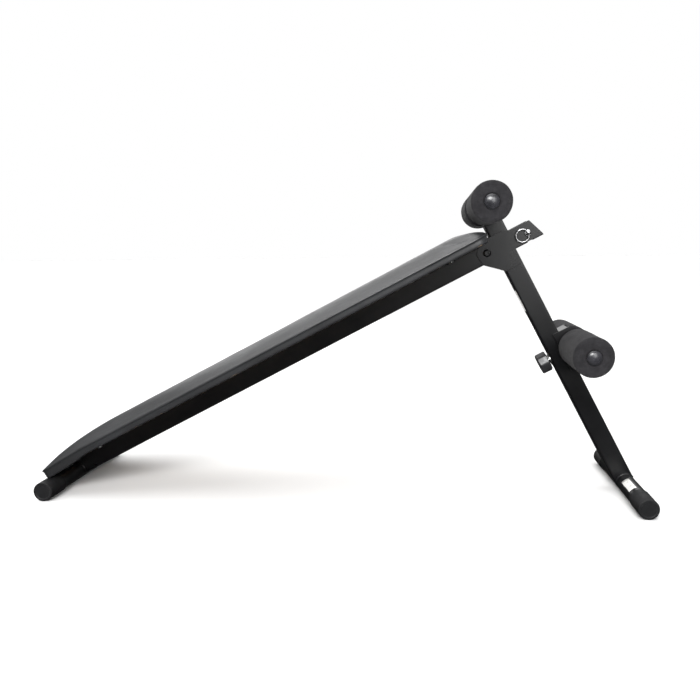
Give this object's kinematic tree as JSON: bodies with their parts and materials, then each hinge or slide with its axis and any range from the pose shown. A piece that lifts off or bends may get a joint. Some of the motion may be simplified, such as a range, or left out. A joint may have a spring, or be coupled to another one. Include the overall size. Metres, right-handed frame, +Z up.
{
  "type": "decline sit up bench",
  "caption": "Folding decline sit-up bench: long padded board on a sloping square-tube frame, hinged leg with ring locking pin, foam ankle and knee rollers.",
  "frame": {"origin": "middle of the whole bench's footprint, on the floor", "axes": "+X along the bench, from the low nose of the pad towards the leg; +Y across it, away from the side that carries the pin's ring; +Z up"},
  "size_m": [1.291, 0.3602, 0.653],
  "materials": {
    "frame_paint": "gloss",
    "pad_cover": "satin",
    "pad_plywood": "matte",
    "roller_foam": "matte",
    "cap_rubber": "matte",
    "black_plastic": "satin",
    "plug_plastic": "gloss",
    "chrome": "polished",
    "black_bolt": "satin",
    "label": "satin",
    "zinc_steel": "satin"
  },
  "bodies": {
    "frame": {"frame_tube": "frame_paint", "frame_end_plug": "black_plastic", "pivot_bushing": "zinc_steel", "upper_post": "frame_paint", "post_cap": "black_plastic", "upper_axle": "frame_paint", "upper_plug_near": "plug_plastic", "upper_plug_far": "plug_plastic", "pad_board": "pad_plywood", "pad_cushion": "pad_cover", "pad_strap_front": "frame_paint", "pad_strap_rear": "frame_paint", "pad_screw_front_near": "zinc_steel", "pad_screw_front_far": "zinc_steel", "pad_screw_rear_near": "zinc_steel", "pad_screw_rear_far": "zinc_steel", "front_stabilizer": "frame_paint", "front_cap_near": "cap_rubber", "front_cap_far": "cap_rubber"},
    "leg": {"leg_tube": "frame_paint", "hinge_plate_near": "frame_paint", "hinge_plate_far": "frame_paint", "pivot_bolt": "black_bolt", "pivot_washer": "zinc_steel", "pivot_nut": "zinc_steel", "rear_stabilizer": "frame_paint", "rear_cap_near": "cap_rubber", "rear_cap_far": "cap_rubber"},
    "locking_pin": {"locking_pin": "chrome"},
    "pin_ring": {"pin_ring": "chrome"},
    "carriage": {"carriage_bracket": "frame_paint", "lower_axle": "frame_paint", "lower_plug_near": "plug_plastic", "lower_plug_far": "plug_plastic", "knob_stud": "zinc_steel", "knob_washer": "zinc_steel"},
    "clamp_knob": {"clamp_knob": "black_plastic"},
    "upper_foam_near": {"upper_foam_near": "roller_foam"},
    "upper_foam_far": {"upper_foam_far": "roller_foam"},
    "lower_foam_near": {"lower_foam_near": "roller_foam"},
    "lower_foam_far": {"lower_foam_far": "roller_foam"}
  },
  "joints": [
    {"name": "leg_fold", "type": "hinge", "parent": "frame", "child": "leg", "pos_m": [0.31853, 0, 0.51641], "axis": [0, 1, 0], "range_deg": [0, 80]},
    {"name": "pin_pull", "type": "slide", "parent": "leg", "child": "locking_pin", "axis": [0, -1, 0], "range_m": [0, 0.058]},
    {"name": "ring_swing", "type": "hinge", "parent": "locking_pin", "child": "pin_ring", "pos_m": [0.40171, -0.0315, 0.55803], "axis": [-0.4617, 0, 0.887], "range_deg": [-12, 180]},
    {"name": "roller_height", "type": "slide", "parent": "leg", "child": "carriage", "axis": [0.4695, 0, -0.8829], "range_m": [-0.054, 0.054]},
    {"name": "knob_turn", "type": "hinge", "parent": "carriage", "child": "clamp_knob", "pos_m": [0.44671, 0, 0.28067], "axis": [-0.8829, 0, -0.4695], "range_deg": [0, 1080]},
    {"name": "upper_near_spin", "type": "hinge", "parent": "frame", "child": "upper_foam_near", "pos_m": [0.3127, -0.1, 0.61315], "axis": [0, 1, 0], "continuous": true},
    {"name": "upper_far_spin", "type": "hinge", "parent": "frame", "child": "upper_foam_far", "pos_m": [0.3127, 0.1, 0.61315], "axis": [0, 1, 0], "continuous": true},
    {"name": "lower_near_spin", "type": "hinge", "parent": "carriage", "child": "lower_foam_near", "pos_m": [0.5102, -0.1, 0.31782], "axis": [0, 1, 0], "continuous": true},
    {"name": "lower_far_spin", "type": "hinge", "parent": "carriage", "child": "lower_foam_far", "pos_m": [0.5102, 0.1, 0.31782], "axis": [0, 1, 0], "continuous": true}
  ]
}
